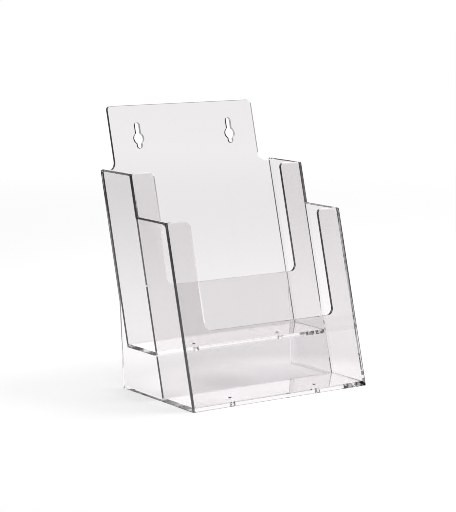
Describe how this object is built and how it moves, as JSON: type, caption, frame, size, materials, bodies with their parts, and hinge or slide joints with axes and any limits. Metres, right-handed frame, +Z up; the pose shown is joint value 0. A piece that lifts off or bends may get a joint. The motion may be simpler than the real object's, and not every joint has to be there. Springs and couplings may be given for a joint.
{
  "type": "leaflet holder",
  "caption": "Clear tiered counter holder for upright leaflets: leaning pockets with cut-away fronts, side fins that prop it up, and a header with keyholes for hanging.",
  "frame": {"origin": "on the counter, under the middle of the holder's overall box", "axes": "+Z up, +X to the right of someone who faces the pockets, +Y to the back, where the header leans"},
  "size_m": [0.163, 0.1444, 0.2165],
  "materials": {
    "clear_sheet": "clear, polished"
  },
  "bodies": {
    "root": {"left_side_plate": "clear_sheet", "right_side_plate": "clear_sheet", "front_pocket_floor": "clear_sheet", "front_pocket_front": "clear_sheet", "riser": "clear_sheet", "rear_pocket_floor": "clear_sheet", "rear_pocket_front": "clear_sheet", "back_panel": "clear_sheet"}
  },
  "joints": []
}
